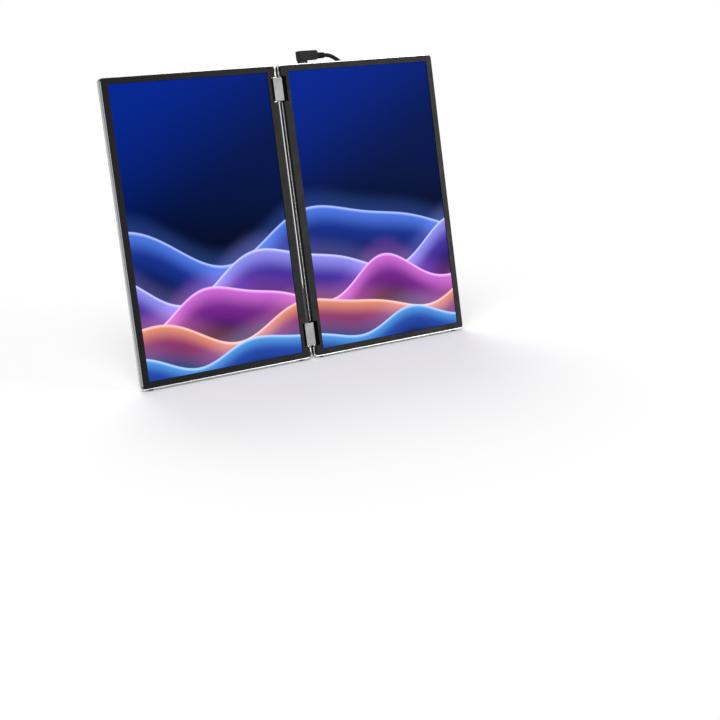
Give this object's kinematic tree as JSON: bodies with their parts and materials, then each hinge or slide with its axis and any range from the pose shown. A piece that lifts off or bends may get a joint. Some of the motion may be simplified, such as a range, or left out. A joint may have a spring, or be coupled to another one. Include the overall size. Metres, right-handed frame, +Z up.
{
  "type": "portable monitor",
  "caption": "Folding portable monitor of hinged upright display panels with a rear kickstand, edge sockets, push buttons and a plugged-in USB-C lead.",
  "frame": {"origin": "on the floor under the middle of the standing monitor, lead left out", "axes": "+X to the viewer's right along the panels, +Y to the back, +Z up"},
  "size_m": [0.4237, 0.0859, 0.3249],
  "materials": {
    "cover_metal": "satin",
    "bezel_black": "matte",
    "screen_glass": "gloss",
    "backplate_metal": "satin",
    "pocket_black": "matte",
    "bracket_steel": "satin",
    "shaft_steel": "ground",
    "screw_steel": "dark plated",
    "bush_brass": "satin",
    "hinge_silver": "bead blasted",
    "foot_rubber": "matte",
    "board_green": "solder mask",
    "shield_steel": "satin",
    "flex_film": "film",
    "socket_steel": "satin",
    "switch_black": "matte",
    "button_metal": "satin",
    "insert_brass": "plain",
    "stand_metal": "satin",
    "plug_black": "fine grain",
    "plug_steel": "satin",
    "lead_black": "matte",
    "tie_fabric": "woven"
  },
  "bodies": {
    "right_panel": {"board_screws": "screw_steel", "button_switches": "switch_black", "far_plug_body": "plug_black", "far_plug_strain_relief": "plug_black", "far_plug_tip": "plug_steel", "kickstand_hinge_leaves": "bracket_steel", "kickstand_pins": "shaft_steel", "main_board": "board_green", "main_board_shield": "shield_steel", "mini_hdmi_socket": "socket_steel", "right_bezel": "bezel_black", "right_bracket_screws": "screw_steel", "right_display_flex": "flex_film", "right_edge_feet": "foot_rubber", "right_hinge_brackets": "bracket_steel", "right_hinge_pockets": "pocket_black", "right_hinge_shafts": "shaft_steel", "right_rear_cover": "cover_metal", "right_screen": "screen_glass", "right_screen_backplate": "backplate_metal", "side_board": "board_green", "tripod_insert": "insert_brass", "usb_c_sockets": "socket_steel", "usb_lead_coil": "lead_black", "usb_lead_run": "lead_black", "usb_lead_tie": "tie_fabric", "usb_plug_body": "plug_black", "usb_plug_strain_relief": "plug_black", "usb_plug_tip": "plug_steel"},
    "hinge_link": {"upper_hinge_cover": "hinge_silver", "lower_hinge_cover": "hinge_silver", "hinge_friction_bushes": "bush_brass"},
    "left_panel": {"left_rear_cover": "cover_metal", "left_bezel": "bezel_black", "left_screen": "screen_glass", "left_screen_backplate": "backplate_metal", "left_hinge_pockets": "pocket_black", "left_hinge_brackets": "bracket_steel", "left_hinge_shafts": "shaft_steel", "left_bracket_screws": "screw_steel", "left_edge_feet": "foot_rubber", "left_display_flex": "flex_film", "driver_board": "board_green", "driver_board_screws": "screw_steel"},
    "kickstand": {"kickstand_plate": "stand_metal", "kickstand_foot": "foot_rubber"},
    "power_button": {"power_button": "button_metal"},
    "menu_button": {"menu_button": "button_metal"}
  },
  "joints": [
    {"name": "right_shaft_hinge", "type": "hinge", "parent": "right_panel", "child": "hinge_link", "pos_m": [0.004, -0.03586, 0.00163], "axis": [0, 0.2106, 0.9776], "range_deg": [-45, 90]},
    {"name": "left_shaft_hinge", "type": "hinge", "parent": "hinge_link", "child": "left_panel", "pos_m": [-0.004, -0.03586, 0.00163], "axis": [0, 0.2106, 0.9776], "range_deg": [-45, 90]},
    {"name": "kickstand_hinge", "type": "hinge", "parent": "right_panel", "child": "kickstand", "pos_m": [0, 0.00261, 0.16213], "axis": [1, 0, 0], "range_deg": [-24.39, 65.61]},
    {"name": "power_button_press", "type": "slide", "parent": "right_panel", "child": "power_button", "axis": [0, -0.2106, -0.9776], "range_m": [0, 0.00035], "stiffness_N_per_m": 3000, "springref_m": -0.0002},
    {"name": "menu_button_press", "type": "slide", "parent": "right_panel", "child": "menu_button", "axis": [-1, 0, 0], "range_m": [0, 0.00035], "stiffness_N_per_m": 3000, "springref_m": -0.0002}
  ]
}
